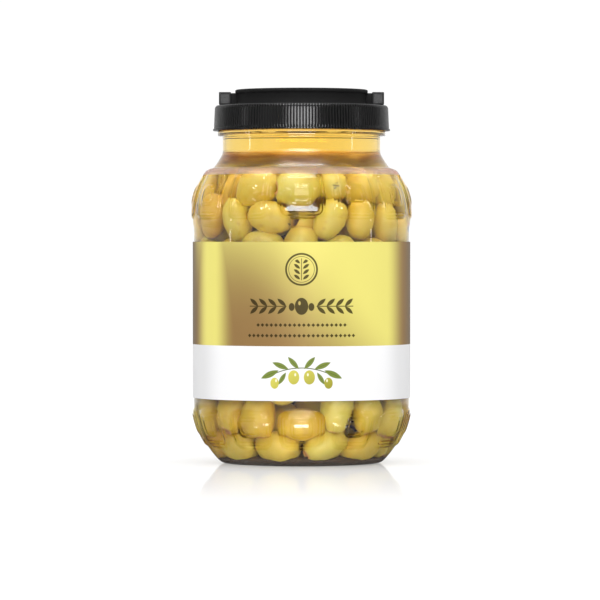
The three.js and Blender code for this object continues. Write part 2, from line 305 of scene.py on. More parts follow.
def joined(name, pieces):
    take(*pieces)
    bpy.ops.object.join()
    return added(name)


def done(piece, body, material, smooth_angle=None):
    """Brings a piece from millimetres to metres, smooths it, and gives it its finish and body."""
    take(piece)
    piece.matrix_world = Matrix.Scale(MM, 4) @ piece.matrix_world
    bpy.ops.object.transform_apply(location=True, rotation=True, scale=True)
    if smooth_angle is None:
        bpy.ops.object.shade_smooth()
    else:
        bpy.ops.object.shade_smooth_by_angle(angle=math.radians(smooth_angle))
    piece.data.materials.clear()
    piece.data.materials.append(material)
    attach(piece, body)
    return piece


class Flow:
    """A value that runs from node to node. Arithmetic on it adds Math nodes."""

    def __init__(self, finish, socket):
        self.finish = finish
        self.socket = socket

    def __add__(self, other):
        return self.finish.maths("ADD", self, other)

    def __sub__(self, other):
        return self.finish.maths("SUBTRACT", self, other)

    def __rsub__(self, other):
        return self.finish.maths("SUBTRACT", other, self)

    def __mul__(self, other):
        return self.finish.maths("MULTIPLY", self, other)

    def __truediv__(self, other):
        return self.finish.maths("DIVIDE", self, other)

    def __pow__(self, other):
        return self.finish.maths("POWER", self, other)

    def __abs__(self):
        return self.finish.maths("ABSOLUTE", self)

    def __gt__(self, other):
        return self.finish.maths("GREATER_THAN", self, other)

    def __lt__(self, other):
        return self.finish.maths("LESS_THAN", self, other)

    __radd__ = __add__
    __rmul__ = __mul__


class Finish:
    """A material, and the one way its nodes are made."""

    def __init__(self, name, world=None):
        self.material = world or bpy.data.materials.new(name)
        self.material.use_nodes = True
        self.tree = self.material.node_tree
        self.tree.nodes.clear()

    def add(self, kind, settings=None, inputs=None, output=0):
        """Adds a node with its settings first, then the values or links of its sockets. Gives an output."""
        node = self.tree.nodes.new(kind)
        for name, value in (settings or {}).items():
            if name == "stops":
                ramp = node.color_ramp
                while len(ramp.elements) < len(value):
                    ramp.elements.new(1)
                for element, (place, colour) in zip(ramp.elements, value):
                    element.position = place
                    element.color = colour
            else:
                setattr(node, name, value)
        for name, value in (inputs or {}).items():
            if isinstance(value, Flow):
                self.tree.links.new(value.socket, node.inputs[name])
            else:
                node.inputs[name].default_value = value
        return Flow(self, node.outputs[output]) if node.outputs else None

    def maths(self, operation, first, second=0.0):
        return self.add("ShaderNodeMath", {"operation": operation}, {0: first, 1: second})

    def least(self, first, second):
        return self.maths("MINIMUM", first, second)

    def most(self, first, second):
        return self.maths("MAXIMUM", first, second)

    def length(self, along, beside):
        """The length of a slanting line from how far it runs along and beside."""
        return self.maths("SQRT", along * along + beside * beside)

    def degrees_round(self, x, y):
        """The angle round the jar from the front towards +X."""
        return self.maths("ARCTAN2", x, 0 - y) * (180 / math.pi)

    def rise(self, value, start, end):
        """0 before the start, 1 after the end, and a smooth rise between them."""
        return self.add(
            "ShaderNodeMapRange",
            {"interpolation_type": "SMOOTHSTEP"},
            {"Value": value, "From Min": start, "From Max": end},
        )

    def mix(self, factor, first, second):
        return self.add("ShaderNodeMix", {"data_type": "RGBA"}, {0: factor, 6: first, 7: second}, 2)

    def place(self):
        """The place on the piece, in millimetres, as x, y and z."""
        coordinates = self.add("ShaderNodeTexCoord", output="Object")
        return self.add("ShaderNodeVectorMath", {"operation": "SCALE"}, {0: coordinates, "Scale": 1 / MM})

    def parts(self, vector):
        return [self.add("ShaderNodeSeparateXYZ", None, {0: vector}, axis) for axis in range(3)]

    def noise(self, vector, size, detail=2.0, roughness=0.5):
        """Noise whose lumps are about the given size in millimetres."""
        inputs = {"Vector": vector, "Scale": 1 / size, "Detail": detail, "Roughness": roughness}
        return self.add("ShaderNodeTexNoise", None, inputs, "Fac")

    def bump(self, height, depth):
        """A bump of a depth in millimetres."""
        inputs = {"Height": height, "Distance": depth * MM, "Strength": 1.0}
        return self.add("ShaderNodeBump", None, inputs)

    def principled(self, **sockets):
        inputs = {name.replace("_", " "): value for name, value in sockets.items()}
        return self.add("ShaderNodeBsdfPrincipled", None, inputs)

    def output(self, surface, volume=None, kind="ShaderNodeOutputMaterial"):
        inputs = {"Surface": surface}
        if volume:
            inputs["Volume"] = volume
        self.add(kind, None, inputs)
        return self.material

    def lamps_through(self, surface):
        """The surface, but clear to the rays that look for lamps, so that light reaches what it covers."""
        shadow = self.add("ShaderNodeLightPath", output="Is Shadow Ray")
        clear = self.add("ShaderNodeBsdfTransparent")
        return self.add("ShaderNodeMixShader", None, {0: shadow, 1: surface, 2: clear})


def paint(red, green, blue):
    """A colour given as it looks on a screen, 0 to 255."""
    def linear(level):
        share = level / 255
        return share / 12.92 if share <= 0.04045 else ((share + 0.055) / 1.055) ** 2.4
    return (linear(red), linear(green), linear(blue), 1)


def panel_terraces(finish):
    """The fine terraces inside each panel's edge, as a height in millimetres."""
    x, y, z = finish.parts(finish.place())
    degrees = finish.degrees_round(x, y)
    across = abs(finish.maths("FLOORED_MODULO", degrees + PANEL_PITCH / 2, PANEL_PITCH) - PANEL_PITCH / 2)
    heights = []
    for band in (LOWER_BAND, UPPER_BAND):
        for half_angle, bottom, top, corner, terraces in (
            (OUTER_HALF_ANGLE, "bottom", "top", OUTER_CORNER, OUTER_TERRACES),
            (INNER_HALF_ANGLE, "inner_bottom", "inner_top", INNER_CORNER, INNER_TERRACES),
        ):
            half_width = math.radians(half_angle) * TERRACE_RADIUS
            half_height = (band[top] - band[bottom]) / 2
            sideways = across * (math.radians(1) * TERRACE_RADIUS) - (half_width - corner)
            upways = abs(z - (band[top] + band[bottom]) / 2) - (half_height - corner)
            round_part = finish.length(finish.most(sideways, 0), finish.most(upways, 0))
            inside = corner - round_part - finish.least(finish.most(sideways, upways), 0)
            for place, height in terraces:
                heights.append(finish.rise(inside, place, place + TERRACE_WIDTH) * height)
    total = heights[0]
    for height in heights[1:]:
        total = total + height
    return total


def shoulder_haze(finish):
    """The wall's roughness: nothing on the sides, a little on the cone and more on the ledge below it."""
    height = finish.parts(finish.place())[2]
    ledge = finish.rise(height, *LEDGE_START) * (1 - finish.rise(height, *LEDGE_END))
    cone = finish.rise(height, *LEDGE_END) * (1 - finish.rise(height, *HAZE_END))
    return ledge * LEDGE_HAZE + cone * CONE_HAZE


def shoulder_painted_light(finish):
    """White, but rose on the ledge as a painted reflection, and amber in level streaks on the cone as
    painted shade, as its light comes furthest.
    """
    place = finish.place()
    height = finish.parts(place)[2]
    cone = finish.rise(height, *PAINTED_SHADE_START) * (1 - finish.rise(height, *PAINTED_SHADE_END))
    flattened = {0: place, 1: (1, 1, STREAK_FLATNESS)}
    level = finish.add("ShaderNodeVectorMath", {"operation": "MULTIPLY"}, flattened)
    streaks = finish.rise(finish.noise(level, STREAK_LENGTH, 3), 0.3, 0.7)
    # Painted shade: amber streaks on the cone
    amber = finish.mix(streaks, (1.0, 0.86, 0.62, 1), (0.84, 0.58, 0.34, 1))
    # Painted reflection: rose on the ledge
    rose = (0.84, 0.74, 0.92, 1)
    ledge = finish.rise(height, *LEDGE_START) * (1 - finish.rise(height, *LEDGE_END))
    return finish.mix(ledge, finish.mix(cone, WHITE, amber), rose)


def clear_plastic():
    """Clear blown plastic. Its index is low, as the brine behind it does most of the bending."""
    finish = Finish("clear plastic")
    surface = finish.principled(
        Base_Color=shoulder_painted_light(finish),
        Roughness=shoulder_haze(finish),
        IOR=1.3,
        Transmission_Weight=1.0,
        Normal=finish.bump(panel_terraces(finish), 1.0),
    )
    return finish.output(finish.lamps_through(surface))


def brine_liquid():
    finish = Finish("brine")
    surface = finish.principled(
        Base_Color=WHITE,
        Roughness=shoulder_haze(finish),
        IOR=1.34,
        Transmission_Weight=1.0,
        Normal=finish.bump(panel_terraces(finish), 1.0),
    )
    volume = finish.add(
        "ShaderNodeVolumeAbsorption", None, {"Color": (0.995, 0.8, 0.0, 1), "Density": 23.0}
    )
    return finish.output(finish.lamps_through(surface), volume)


def black_plastic():
    """Moulded black plastic: a fine satin grain, duller on the crown and in line with the grooves.

    The dull stripes run at every height, so they cross the deck too and show there from above.
    """
    finish = Finish("black plastic")
    place = finish.place()
    cloud = finish.noise(place, 14, 3)
    grain = finish.noise(place, 0.35, 2)
    x, y, z = finish.parts(place)
    crown = finish.rise(z, LID_DECK - 1, LID_DECK + 1)
    degrees = finish.degrees_round(x, y)
    off_groove = abs(finish.maths("FLOORED_MODULO", degrees, RIB_PITCH) - RIB_PITCH / 2)
    groove = 1 - finish.rise(off_groove, *[share * RIB_PITCH for share in GROOVE_EDGE])
    colour = finish.mix(cloud, paint(8, 8, 8), paint(12, 12, 13))
    surface = finish.principled(
        Base_Color=colour,
        Roughness=SATIN + cloud * 0.06 + finish.most(crown, groove) * DULLER,
        Specular_IOR_Level=0.5,
        Normal=finish.bump(grain, 0.01),
    )
    return finish.output(surface)


def grained_plastic():
    """The handle's plastic: black, with a coarse sparked grain."""
    finish = Finish("grained black plastic")
    place = finish.place()
    grain = finish.noise(place, 0.55, 3, 0.65)
    cloud = finish.noise(place, 9, 2)
    x, y, z = finish.parts(place)
    across = finish.most(abs(abs(x) - (HANDLE_INNER + HANDLE_OUTER) / 2), abs(z - PIVOT_HEIGHT))
    face = (1 - finish.rise(across, 2.6, 3.0)) * (y < 0)
    plain = finish.mix(grain, paint(14, 14, 15), paint(48, 48, 49))
    colour = finish.mix(face, plain, finish.mix(grain, paint(34, 34, 35), paint(102, 102, 103)))
    surface = finish.principled(
        Base_Color=colour,
        Roughness=0.42 + cloud * 0.14,
        Specular_IOR_Level=0.45,
        Normal=finish.bump(grain, 0.16),
    )
    return finish.output(surface)


def olive_flesh():
    """Cured green olive: uneven yellow skin, a cross cut at one end and a punched hole at the other."""
    finish = Finish("olive flesh")
    own = finish.add("ShaderNodeAttribute", {"attribute_name": "own_place"}, output="Vector")
    tone = finish.add("ShaderNodeAttribute", {"attribute_name": "tone"}, output="Fac")
    x, y, z = finish.parts(own)
    place = finish.place()
    across = finish.length(x, y)
    mottle = finish.noise(place, 5.5, 4, 0.6)
    speck = finish.noise(place, 1.1, 2)
    ripe = finish.add(
        "ShaderNodeValToRGB",
        {"stops": [
            (0.0, paint(214, 200, 92)),
            (0.35, paint(219, 195, 74)),
            (0.7, paint(219, 184, 52)),
            (1.0, paint(212, 164, 44)),
        ]},
        {0: tone + (mottle - 0.5) * 0.5},
    )
    blotch = finish.mix(finish.rise(mottle, 0.56, 0.74) * 0.45, ripe, paint(186, 146, 52))
    spotted = finish.mix(finish.rise(speck, 0.66, 0.8) * 0.25, blotch, paint(150, 112, 44))
    pale_end = finish.mix(finish.rise(abs(z), 0.75, 1.02) * 0.3, spotted, paint(214, 206, 132))
    cross = finish.least(abs(x + y * 0.2), abs(y - x * 0.2))
    cut = (1 - finish.rise(cross, 0.02, 0.05)) * (1 - finish.rise(across, 0.16, 0.24)) * (z > 0.5)
    with_cross = finish.mix(cut * 0.85, pale_end, paint(74, 52, 22))
    hole_depth = (1 - finish.rise(across, 0.32, 0.5)) * (z < 0)
    flesh = finish.mix(hole_depth, with_cross, paint(206, 150, 96))
    # Painted shade: darker brown deep inside the punched hole
    inner = finish.rise(z, -0.82, -0.55) * (1 - finish.rise(across, 0.34, 0.42)) * (z < 0.4)
    colour = finish.mix(inner, flesh, paint(110, 66, 30))
    relief = mottle * 0.6 + speck * 0.12 - cut * 0.5
    surface = finish.principled(
        Base_Color=colour,
        Roughness=0.38 + mottle * 0.15,
        Subsurface_Weight=0.25,
        Subsurface_Radius=(1.0, 0.6, 0.15),
        Subsurface_Scale=0.002,
        Specular_IOR_Level=0.5,
        Normal=finish.bump(relief, 0.5),
    )
    return finish.output(surface)


# Painted shade: a dark brown that stands for the olives deep in the heap and the shade between them
def heap_core_painted_shade():
    finish = Finish("painted shade deep in the heap")
    place = finish.place()
    lumps = finish.noise(place, 12, 3)
    colour = finish.mix(lumps, paint(44, 24, 8), paint(76, 46, 14))
    surface = finish.principled(Base_Color=colour, Roughness=0.6, Normal=finish.bump(lumps, 2.0))
    return finish.output(surface)


def leaf(finish, across, up, middle, turn, length, width):
    """1 inside a pointed leaf of half a length and half a width, turned from lying along."""
    cosine, sine = math.cos(math.radians(turn)), math.sin(math.radians(turn))
    u, v = across - middle[0], up - middle[1]
    along = u * cosine + v * sine
    beside = v * cosine - u * sine
    room = width * (1 - along * along / (length * length)) - abs(beside)
    return finish.rise(room, -PRINT_EDGE, PRINT_EDGE)


def drupe(finish, across, up, middle, half_width, half_height):
    """1 inside an upright oval."""
    u, v = (across - middle[0]) / half_width, (up - middle[1]) / half_height
    return 1 - finish.rise(u * u + v * v, 1 - 4 * PRINT_EDGE / half_width, 1)


def stripe(finish, value, middle, half_width):
    return 1 - finish.rise(abs(value - middle), half_width - PRINT_EDGE, half_width + PRINT_EDGE)


def gold_ornament(finish, around, z):
    """The dark print on the gold field: a seal, a garland and two rows of small marks."""
    side = abs(around)
    seal_up = z - SEAL_HEIGHT
    from_middle = finish.length(around, seal_up)
    seal = finish.most(*[stripe(finish, from_middle, radius, line) for radius, line in SEAL_RINGS])
    rung = finish.maths("FLOORED_MODULO", seal_up, TWIG_PITCH)
    twig_print = finish.most(leaf(finish, side, rung, **TWIG_LEAF), stripe(finish, around, 0, TWIG_STEM))
    twig = twig_print * (1 - finish.rise(from_middle, *TWIG_END))
    cell = finish.maths("FLOORED_MODULO", side - GARLAND_START, GARLAND_PITCH) - GARLAND_PITCH / 2
    garland_up = abs(z - GARLAND_HEIGHT)
    garland_print = finish.most(
        leaf(finish, cell, garland_up, **GARLAND_LEAF),
        stripe(finish, garland_up, 0, GARLAND_STEM),
    )
    garland = garland_print * stripe(finish, side, GARLAND_START + GARLAND_HALF_LENGTH, GARLAND_HALF_LENGTH)
    fruit = finish.most(
        drupe(finish, side, z, (0, GARLAND_HEIGHT), 4.4, 5.6),
        drupe(finish, side, z, (6.3, GARLAND_HEIGHT - 0.4), 2.0, 2.7),
    )
    glint = drupe(finish, around, z, (-1.3, GARLAND_HEIGHT + 2.0), 0.9, 1.5)
    bead = abs(finish.maths("FLOORED_MODULO", around, BEAD_PITCH) - BEAD_PITCH / 2)
    beads = [
        finish.rise(BEAD_SIZE - bead - abs(z - height), -PRINT_EDGE, PRINT_EDGE)
        * stripe(finish, around, 0, reach)
        for height, reach in BEAD_ROWS
    ]
    garland = finish.most(garland, fruit * (1 - glint))
    return finish.most(finish.most(seal, twig), finish.most(garland, finish.most(*beads)))


def olive_sprig(finish, around, z, ground):
    """The coloured print on the white band: a hanging sprig with four fruits."""
    side = abs(around)
    up = z - SPRIG_HEIGHT
    bow = up - 3.4 + side * side * 0.012
    green, shade = paint(122, 138, 62), paint(84, 98, 44)
    picture = finish.mix(stripe(finish, bow, 0, 0.3) * (1 - finish.rise(side, *SPRIG_END)), ground, shade)
    for middle, turn, length, width in SPRIG_LEAVES:
        outline = leaf(finish, side, up, middle, turn, length, width)
        vein = leaf(finish, side, up, middle, turn, length * 0.9, 0.16)
        picture = finish.mix(outline, picture, finish.mix(vein, green, shade))
    for middle, half_width, half_height in SPRIG_FRUITS:
        body = drupe(finish, side, up, middle, half_width, half_height)
        lit = finish.rise(up - around * 0.5, -26, 12)
        skin = finish.mix(lit, paint(150, 146, 44), paint(214, 206, 92))
        glint = drupe(finish, side, up, (middle[0] - 1.0, middle[1] + 1.7), 0.7, 1.2)
        picture = finish.mix(body, picture, finish.mix(glint, skin, paint(244, 242, 214)))
    return picture


def label_film():
    """The label: a gold field that runs from bright to brown, over a white band, with plain ornament. The
    gold's bright bands are painted reflections and its brown sides painted shade, and the white band greys
    to its sides in painted shade.
    """
    finish = Finish("label film")
    x, y, z = finish.parts(finish.place())
    turn = finish.maths("ARCTAN2", x, 0 - y)
    around = turn * LABEL_RADIUS
    degrees = turn * (180 / math.pi)
    lift = (z - FIELD_BOTTOM) / (LABEL_TOP - FIELD_BOTTOM)
    # Two bright bands of painted reflection run up each half of the label, and the right one widens to the
    # left towards the top
    half = finish.maths("FLOORED_MODULO", degrees + 90, 180.0) - 90
    narrow_painted_reflection = finish.rise(half, -76, -58) * (1 - finish.rise(half, -52, -36))
    broad_painted_reflection = finish.rise(half, -20 - lift * 24, 62 - lift * (66 - lift * 30))
    # Painted sheen: the gold grows brighter towards its top
    glow = lift * lift * 0.66
    bright = finish.most(narrow_painted_reflection, 1 - (1 - broad_painted_reflection) * (1 - glow)) * (1 - finish.rise(half, 50, 70))
    bright = (bright * finish.rise(half, -86, -62)) ** 1.3
    # Painted shade: the gold turns brown towards the sides of each half
    shaded = finish.mix(finish.rise(abs(half), 62, 84), paint(151, 119, 74), paint(112, 90, 58))
    gold = finish.mix(bright, shaded, paint(237, 227, 125))
    printed = finish.mix(gold_ornament(finish, around, z) * 0.9, gold, paint(52, 42, 16))
    band = z < FIELD_BOTTOM
    fleck = finish.noise(finish.place(), 0.25, 1)
    paper = finish.mix(fleck, paint(238, 238, 239), paint(242, 242, 243))
    # Painted shade: the white band greys towards the sides of each half
    white = finish.mix(finish.rise(abs(half), 46, 64), paper, paint(224, 224, 225))
    colour = finish.mix(band, printed, olive_sprig(finish, around, z, white))
    wave = finish.noise(finish.place(), 26, 2)
    surface = finish.principled(
        Base_Color=colour,
        Metallic=0.1 * (1 - band),
        Roughness=0.45,
        Specular_IOR_Level=0.12,
        Normal=finish.bump(wave, 0.5),
    )
    return finish.output(surface)


def from_panel(point):
    """The angle of a point from the nearest panel's middle."""
    return (angle_of(point) + PANEL_PITCH / 2) % PANEL_PITCH - PANEL_PITCH / 2


def panel_zone(band, centre, half_angle, bottom, top):
    """Whether a point lies in the panels of a band."""
    return abs(from_panel(centre)) < half_angle and band[bottom] < centre.z < band[top]


def draw_in(scale):
    """Scales what is selected towards the axis, or away from it by a scale over 1."""
    bpy.ops.transform.resize(value=(scale, scale, 1), center_override=(0, 0, 0))


def draw_corners_in(cage, wall, height, half_angle, rise):
    """Moves the corners of a row of panels up or down the wall and towards each panel's middle."""
    scale = wall(height + rise) / wall(height)
    for side in (-1, 1):
        select_points(cage, lambda point: (
            abs(point.z - height) < MERGE_GAP and abs(from_panel(point) - side * half_angle) < 0.1
        ))
        turn = math.radians(side * CORNER_TURN)
        bpy.ops.transform.rotate(value=turn, orient_axis="Z", center_override=(0, 0, 0))
        bpy.ops.transform.translate(value=(0, 0, rise))
        draw_in(scale)


def body_cage():
    """The outside of the blown body, as a coarse cage with its panels drawn out of the wall."""
    low, high = LOWER_BAND, UPPER_BAND
    low_middle = (low["inner_bottom"] + low["inner_top"]) / 2
    high_middle = (high["inner_bottom"] + high["inner_top"]) / 2
    low_rows = [7.2, low["bottom"], low["inner_bottom"], low_middle, low["inner_top"], low["top"], 38.6]
    high_rows = [high["bottom"], high["inner_bottom"], high_middle, high["inner_top"], high["top"]]
    profile = [
        (0, 5), (22, 4.8), (37, 4), (45.4, 0.7), (47.6, 0), (51.6, 0), (54.2, 1.6),
        *[(lower_wall(z), z) for z in low_rows],
        (70.5, 41.2), (70.5, 43), (70.5, 152.2), (70.6, 154), (71.3, 156.4),
        *[(upper_wall(z), z) for z in high_rows],
        (60.6, 192.2), (58.6, 192.5), (57.2, 193.2),
        (54.7, 197), (52.3, 201), *[(NECK_RADIUS, z) for z in (202.4, 203.6, 212, 212.9)],
        *BEAD, *LID_SEAT,
    ]
    cage = wire("body_cage", profile, -OUTER_HALF_ANGLE)
    for _ in range(PANEL_COUNT):
        spin(4, 2 * OUTER_HALF_ANGLE)
        spin(1, PANEL_PITCH - 2 * OUTER_HALF_ANGLE)
    close_up()
    for band, wall in ((low, lower_wall), (high, upper_wall)):
        draw_corners_in(cage, wall, band["bottom"], OUTER_HALF_ANGLE, CORNER_RISE)
        draw_corners_in(cage, wall, band["top"], OUTER_HALF_ANGLE, -CORNER_RISE)
        draw_corners_in(cage, wall, band["inner_bottom"], INNER_HALF_ANGLE, CORNER_RISE)
        draw_corners_in(cage, wall, band["inner_top"], INNER_HALF_ANGLE, -CORNER_RISE)
    for steps, half_angle, bottom, top in (
        (OUTER_STEPS, OUTER_HALF_ANGLE, "bottom", "top"),
        (INNER_STEPS, INNER_HALF_ANGLE, "inner_bottom", "inner_top"),
    ):
        select_faces(cage, lambda centre, _: any(
            panel_zone(band, centre, half_angle, bottom, top) for band in (low, high)
        ))
        for width, rise in steps:
            bpy.ops.mesh.inset(thickness=width, depth=rise)
    leave_edit()
    return cage


def straight_neck(cage):
    """Draws the bead and the lid's seat in to the neck, for the skins inside the wall."""
    edit(cage)
    for radius, z in [*BEAD, *LID_SEAT]:
        select_points(cage, lambda point: abs(point.z - z) < MERGE_GAP)
        draw_in(NECK_RADIUS / radius)
    leave_edit()


def jar_wall(cage):
    """The wall: a fine outer skin and a coarser inner one, joined at the rim."""
    outer = copied(cage, "outer_skin")
    apply_modifier(outer, "SUBSURF", levels=2, render_levels=2)
    inner = copied(cage, "inner_skin")
    straight_neck(inner)
    apply_modifier(inner, "SUBSURF", levels=1, render_levels=1)
    edit(inner)
    bpy.ops.mesh.select_all(action="SELECT")
    bpy.ops.transform.shrink_fatten(value=-WALL)
    bpy.ops.mesh.flip_normals()
    leave_edit()
    wall = joined("jar_wall", [outer, inner])
    edit(wall)
    bpy.ops.mesh.select_mode(type="EDGE")
    bpy.ops.mesh.select_all(action="DESELECT")
    bpy.ops.mesh.select_non_manifold()
    bpy.ops.mesh.bridge_edge_loops()
    leave_edit()
    wall = done(wall, "jar", clear_plastic())
    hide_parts("jar")


def brine(cage):
    """The brine reaches just into the wall, so that no air shows between them."""
    body = copied(cage, "brine")
    straight_neck(body)
    apply_modifier(body, "SUBSURF", levels=2, render_levels=2)
    edit(body)
    bpy.ops.mesh.select_all(action="SELECT")
    bpy.ops.transform.shrink_fatten(value=-BRINE_DEPTH)
    bpy.ops.mesh.bisect(plane_co=(0, 0, BRINE_TOP), plane_no=(0, 0, 1), clear_outer=True, use_fill=True)
    close_up()
    leave_edit()
    done(body, "jar", brine_liquid())


def lid_moulding():
    skirt = [
        (LID_RADIUS - LID_DRAFT * (1 - run), RIB_TOP - (RIB_TOP - RIB_BOTTOM) * run)
        for run in (0, 0.05, 0.95, 1)
    ]
    profile = [
        (0, 243.2), (12, 243.2), (38.0, 243.2), (38.8, 243.3), (39.6, 243.9),
        (40.3, CROWN_TOP), (42.4, CROWN_TOP), (43.1, 243.8), (43.4, 243.3), (43.4, 242.2), (43.1, 241.6),
        (42.3, 241), (42.05, 240), (42.05, 235.2), (42.4, 234.2),
        (43.4, LID_DECK), (45, LID_DECK), (54.4, LID_DECK), (55.5, 233.6), (56.3, 232.9),
        *skirt,
        (LID_RADIUS, 218.5), (57.95, 218.2), (58, 217.4), (57.8, LID_BOTTOM),
        (55.2, LID_BOTTOM), (55, 217.5), (55, 231.6), (40, 231.6), (40, 241.2), (0, 241.2),
    ]
    moulding = lathe("lid_moulding", profile, 4 * RIB_COUNT)
    select_points(moulding, lambda point: (
        RIB_BOTTOM - 0.1 < point.z < RIB_TOP + 0.1
        and math.hypot(point.x, point.y) > LID_RADIUS - LID_DRAFT - 0.2
        and round(angle_of(point) % RIB_PITCH / RIB_PITCH * 4) == 2
    ))
    draw_in(1 - RIB_RELIEF / LID_RADIUS)
    leave_edit()
    tools = []
    for side in (-1, 1):
        bpy.ops.mesh.primitive_cylinder_add(
            vertices=48, radius=SWING_GROOVE_RADIUS, depth=SWING_GROOVE_DEPTH, rotation=ALONG_X,
            location=(side * (LUG_END + SWING_GROOVE_DEPTH / 2), 0, PIVOT_HEIGHT),
        )
        tools.append(added("groove"))
    groove = joined("groove", tools)
    take(groove)
    bpy.ops.object.transform_apply()
    apply_modifier(moulding, "BOOLEAN", operation="DIFFERENCE", object=groove, solver="EXACT")
    bpy.data.objects.remove(groove)
    parts = [moulding]
    for side in (-1, 1):
        across = side * (CROWN_RADIUS + LUG_END) / 2
        bpy.ops.mesh.primitive_cube_add(size=1, location=(across, 0, LUG_MIDDLE))
        lug = added("lug")
        lug.scale = (LUG_END - CROWN_RADIUS + 2 * LUG_OVERRUN, LUG_WIDTH, LUG_HEIGHT)
        take(lug)
        bpy.ops.object.transform_apply()
        apply_modifier(lug, "BEVEL", width=0.7, segments=3)
        bpy.ops.mesh.primitive_cylinder_add(
            vertices=40, radius=PIN_RADIUS, depth=PIN_END - LUG_END + 1, rotation=ALONG_X,
            location=(side * (LUG_END + PIN_END - 1) / 2, 0, PIVOT_HEIGHT),
        )
        pin = added("pin")
        take(pin)
        bpy.ops.object.transform_apply()
        apply_modifier(pin, "BEVEL", width=0.4, segments=2)
        parts += [lug, pin]
    lid = joined("lid_moulding", parts)
    lid = done(lid, "jar", black_plastic(), 35)
    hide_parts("lid")


def bevel_edges(piece, width):
    """Rounds the sharp edges of a piece."""
    apply_modifier(
        piece, "BEVEL", width=width, segments=3, limit_method="ANGLE", angle_limit=math.radians(60),
    )


def folding_handle():
    middle = (HANDLE_INNER + HANDLE_OUTER) / 2
    width = HANDLE_OUTER - HANDLE_INNER
    low, high = PIVOT_HEIGHT - HANDLE_HEIGHT / 2, PIVOT_HEIGHT + HANDLE_HEIGHT / 2
    section = [(HANDLE_INNER, low), (HANDLE_OUTER, low), (HANDLE_OUTER, high), (HANDLE_INNER, high)]
    bail = wire("folding_handle", [*section, section[0]], 90)
    spin(60, 180)
    close_up()
    select_faces(bail, lambda centre, normal: normal.z > 0.9)
    bpy.ops.mesh.inset(thickness=1.7, depth=0)
    bpy.ops.mesh.inset(thickness=0.5, depth=-0.9)
    bpy.ops.mesh.select_mode(type="EDGE")
    bpy.ops.mesh.select_all(action="DESELECT")
    bpy.ops.mesh.select_non_manifold()
    bpy.ops.mesh.fill()
    close_up()
    leave_edit()
    bevel_edges(bail, 0.7)
    for side in (-1, 1):
        bpy.ops.mesh.primitive_cube_add(size=1, location=(side * middle, 0, PIVOT_HEIGHT))
        eye = added("eye")
        eye.scale = (width, EYE_SIZE, EYE_SIZE)
        take(eye)
        bpy.ops.object.transform_apply()
        edit(eye)
        select_faces(eye, lambda centre, normal: normal.y < -0.9)
        bpy.ops.mesh.inset(thickness=1.1, depth=0)
        bpy.ops.mesh.inset(thickness=0.3, depth=-0.5)
        leave_edit()
        bevel_edges(eye, 0.5)
        apply_modifier(bail, "BOOLEAN", operation="UNION", object=eye, solver="EXACT")
        bpy.data.objects.remove(eye)
        bpy.ops.mesh.primitive_cylinder_add(
            vertices=40, radius=PIN_RADIUS + BORE_GAP, depth=PIN_END + 2 - HANDLE_INNER, rotation=ALONG_X,
            location=(side * (PIN_END + HANDLE_INNER) / 2, 0, PIVOT_HEIGHT),
        )
        bore = added("bore")
        take(bore)
        bpy.ops.object.transform_apply()
        apply_modifier(bail, "BOOLEAN", operation="DIFFERENCE", object=bore, solver="EXACT")
        bpy.data.objects.remove(bore)
    bail = done(bail, "handle", grained_plastic(), 35)
    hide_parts("handle")


def wrap_label():
    """The label's film starts at the back, runs once round the jar and laps over its own start."""
    height = LABEL_TOP - LABEL_BOTTOM
    rows = 10
    profile = [(LABEL_RADIUS, LABEL_BOTTOM + height * row / rows) for row in range(rows + 1)]
    film = wire("wrap_label", profile, 184)
    spin(176, 352)
    spin(1, 2)
    draw_in((LABEL_RADIUS + LABEL_THICKNESS + LAP_GAP) / LABEL_RADIUS)
    spin(6, 12)
    bpy.ops.mesh.select_all(action="SELECT")
    bpy.ops.mesh.remove_doubles(threshold=MERGE_GAP)
    leave_edit()
    apply_modifier(film, "SOLIDIFY", thickness=LABEL_THICKNESS, offset=0)
    edit(film)
    bpy.ops.mesh.select_all(action="SELECT")
    bpy.ops.mesh.normals_make_consistent(inside=False)
    leave_edit()
    film = done(film, "jar", label_film(), 30)
    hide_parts("label")


# Olives against the wall, as [angle, height, lean, inward turn]: the front ones listed one by one after the
# photograph, and the rest of each ring by rule. A lean of 0 stands up and 90 lies along the wall, an inward
# turn of 90 points its cross at the wall and one of -90 its hole.
WALL_ROWS = [
    [[-76, 14, 40, 0], [-51, 14, 80, 0], [-19.5, 13.4, 92, 0], [18.5, 15, 62, 0], [47, 14, 264, -14]],
    [[-72, 33, 10, 0], [-48, 36, 10, -24], [-25, 35, 6, 0], [1, 28.5, 91, 0], [22, 37, 8, 0],
     [45, 36, -10, 0], [67, 33, 5, 0]],
    [[-60, 54, 30, 0], [-36, 57, 70, 0], [-8, 50, 62, 0], [10, 57, 0, 60], [34, 58, 20, 0],
     [58, 56, 70, 0]],
    [[-70, 142, 8, 0], [-48, 139, 60, 0], [-27, 142, 84, 0], [-1, 141, 12, 0], [22, 138, 50, 0],
     [48, 139, 70, 0]],
    [[-64, 161, 4, 0], [-44, 161, -10, 0], [-21.5, 160, 106, 0], [16.5, 160, 24, 0], [38.4, 161, 4, 0],
     [61, 161, -6, 0]],
    [[-53, 181, 24, 0], [-31, 181, 76, 0], [-5, 180, 92, -22], [19, 180, 0, 84], [40, 180, 60, 48],
     [61, 181, 10, 0]],
]
RING_PITCH = 21.5
HEIGHT_JITTER = 1.2
LEAN_JITTER = 35
SIZE_JITTER = 0.07
# The olives behind them, as rings of a radius and a height
INNER_RINGS = [
    (40, 22), (42, 44), (18, 22), (40, 150), (36, 166), (38, 180), (18, 172), (20, 181), (3, 180),
]
INNER_PITCH = 21.5
